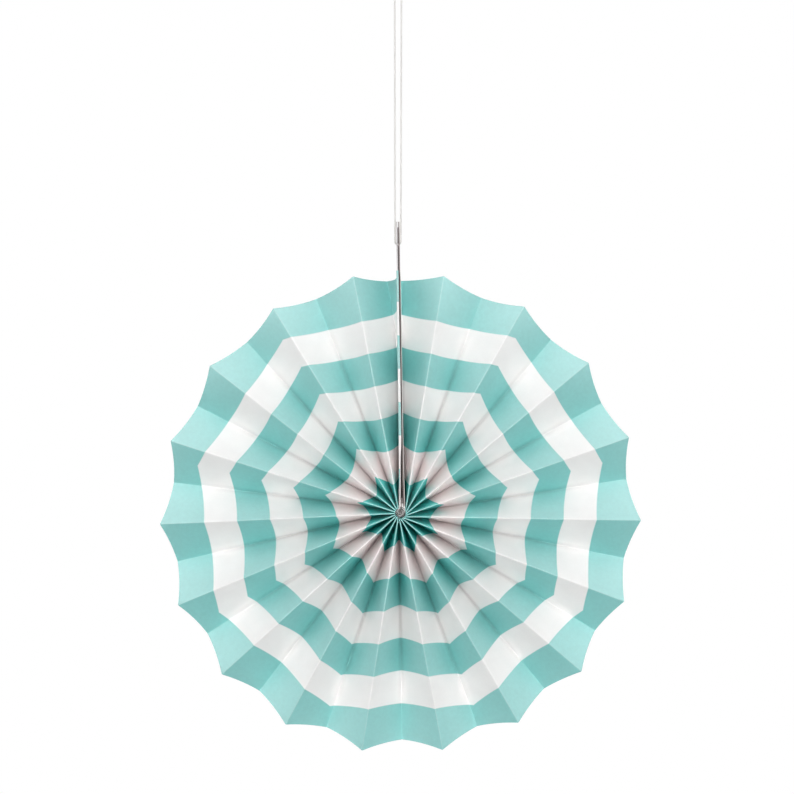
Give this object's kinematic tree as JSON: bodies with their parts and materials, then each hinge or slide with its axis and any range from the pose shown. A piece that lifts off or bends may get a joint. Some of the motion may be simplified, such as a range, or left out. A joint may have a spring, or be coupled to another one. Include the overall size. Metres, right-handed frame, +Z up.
{
  "type": "paper fan rosette",
  "caption": "Hanging party decoration: a pleated paper fan opened to a full disc with mint and white scalloped bands, card tabs at its seam and a string loop.",
  "frame": {"origin": "bearing point inside the top of the string's loop, where it hangs on a hook", "axes": "+Z up along the hanging string, -Y to the printed front, +X to the right seen from the front"},
  "size_m": [0.2998, 0.038, 0.4946],
  "materials": {
    "printed_paper": "uncoated heavy paper with mint bands printed on the white front, white back",
    "white_card": "smooth white card with cut edges",
    "adhesive_tape": "double-sided adhesive strip, dull",
    "binding_thread": "twisted cotton thread",
    "string": "twisted off-white cotton string"
  },
  "bodies": {
    "root": {"pleated_paper": "printed_paper", "left_end_card": "white_card", "right_end_card": "white_card", "seam_tape": "adhesive_tape", "binding_thread": "binding_thread", "hanging_string": "string", "string_knot": "string"}
  },
  "joints": []
}
